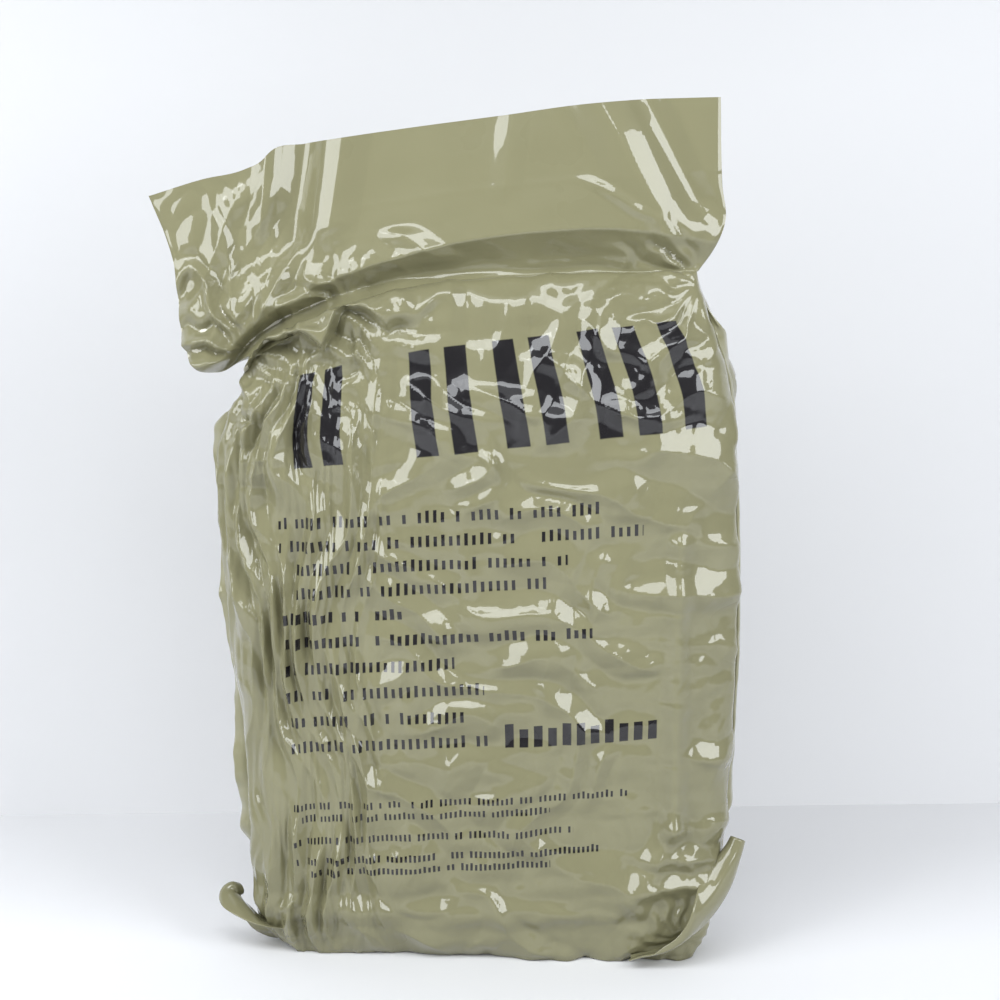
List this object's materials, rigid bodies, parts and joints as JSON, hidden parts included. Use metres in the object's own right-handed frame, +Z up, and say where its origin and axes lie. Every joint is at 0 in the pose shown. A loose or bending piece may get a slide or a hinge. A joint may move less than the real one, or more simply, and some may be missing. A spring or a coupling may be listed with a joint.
{
  "type": "vacuum packed protective coat",
  "caption": "Folded hooded protective coat vacuum-sealed in a crumpled olive barrier-film bag, standing on its bottom seal, with a loose header flap, side seals and corner ears.",
  "frame": {"origin": "middle of the folded bottom seal, on the surface that the pack stands on", "axes": "+Z up, -Y out of the front of the pack, +X to the right seen from the front"},
  "size_m": [0.418, 0.072, 0.598],
  "materials": {
    "film": "glossy foil laminate",
    "seal": "satin welded laminate",
    "shell_cloth": "matt",
    "liner_cloth": "matt",
    "webbing": "matt",
    "hardware": "matt",
    "metal": "blackened",
    "label": "matt"
  },
  "bodies": {
    "pack": {"front_film": "film", "back_film": "film", "bottom_seal": "seal", "storm_flap": "shell_cloth", "left_front_shell": "shell_cloth", "right_front_shell": "shell_cloth", "left_sleeve": "shell_cloth", "right_sleeve": "shell_cloth", "left_cuff": "shell_cloth", "right_cuff": "shell_cloth", "sleeve_pocket": "shell_cloth", "sleeve_pocket_flap": "shell_cloth", "hood": "shell_cloth", "lower_skirt": "shell_cloth", "back_shell": "shell_cloth", "left_front_liner": "liner_cloth", "right_front_liner": "liner_cloth", "back_liner": "liner_cloth", "flap_loop_strip": "webbing", "flap_hook_strip": "webbing", "left_zip_half": "webbing", "right_zip_half": "webbing", "left_wrist_tab": "webbing", "right_wrist_tab": "webbing", "hood_drawcord": "webbing", "hem_drawcord": "webbing", "waist_loop": "webbing", "hood_cord_lock": "hardware", "left_hem_lock": "hardware", "right_hem_lock": "hardware", "zip_slider": "metal", "zip_pull": "metal", "zip_bottom_box": "metal", "waist_loop_snap": "metal", "size_label": "label"},
    "header": {"header_front_leaf": "film", "header_back_leaf": "film", "closing_seal": "seal"},
    "left_fin": {"left_side_seal": "seal"},
    "right_fin": {"right_side_seal": "seal"},
    "left_ear": {"left_corner_ear": "seal"},
    "right_ear": {"right_corner_ear": "seal"}
  },
  "joints": [
    {"name": "header_fold", "type": "hinge", "parent": "pack", "child": "header", "pos_m": [-0.0118, 0, 0.4486], "axis": [0.9792, 0, 0.2027], "range_deg": [-90, 90]},
    {"name": "left_fin_bend", "type": "hinge", "parent": "pack", "child": "left_fin", "pos_m": [-0.1685, 0, 0.206], "axis": [-0.0312, 0, 0.9995], "range_deg": [-75, 75], "stiffness_Nm_per_rad": 0.02},
    {"name": "right_fin_bend", "type": "hinge", "parent": "pack", "child": "right_fin", "pos_m": [0.1665, 0, 0.27], "axis": [0, 0, 1], "range_deg": [-75, 75], "stiffness_Nm_per_rad": 0.02},
    {"name": "left_ear_bend", "type": "hinge", "parent": "pack", "child": "left_ear", "pos_m": [-0.1575, 0, 0.0235], "axis": [-0.3022, 0, 0.9532], "range_deg": [-75, 75], "stiffness_Nm_per_rad": 0.01},
    {"name": "right_ear_bend", "type": "hinge", "parent": "pack", "child": "right_ear", "pos_m": [0.1625, 0, 0.0265], "axis": [0.1678, 0, 0.9858], "range_deg": [-75, 75], "stiffness_Nm_per_rad": 0.01}
  ]
}
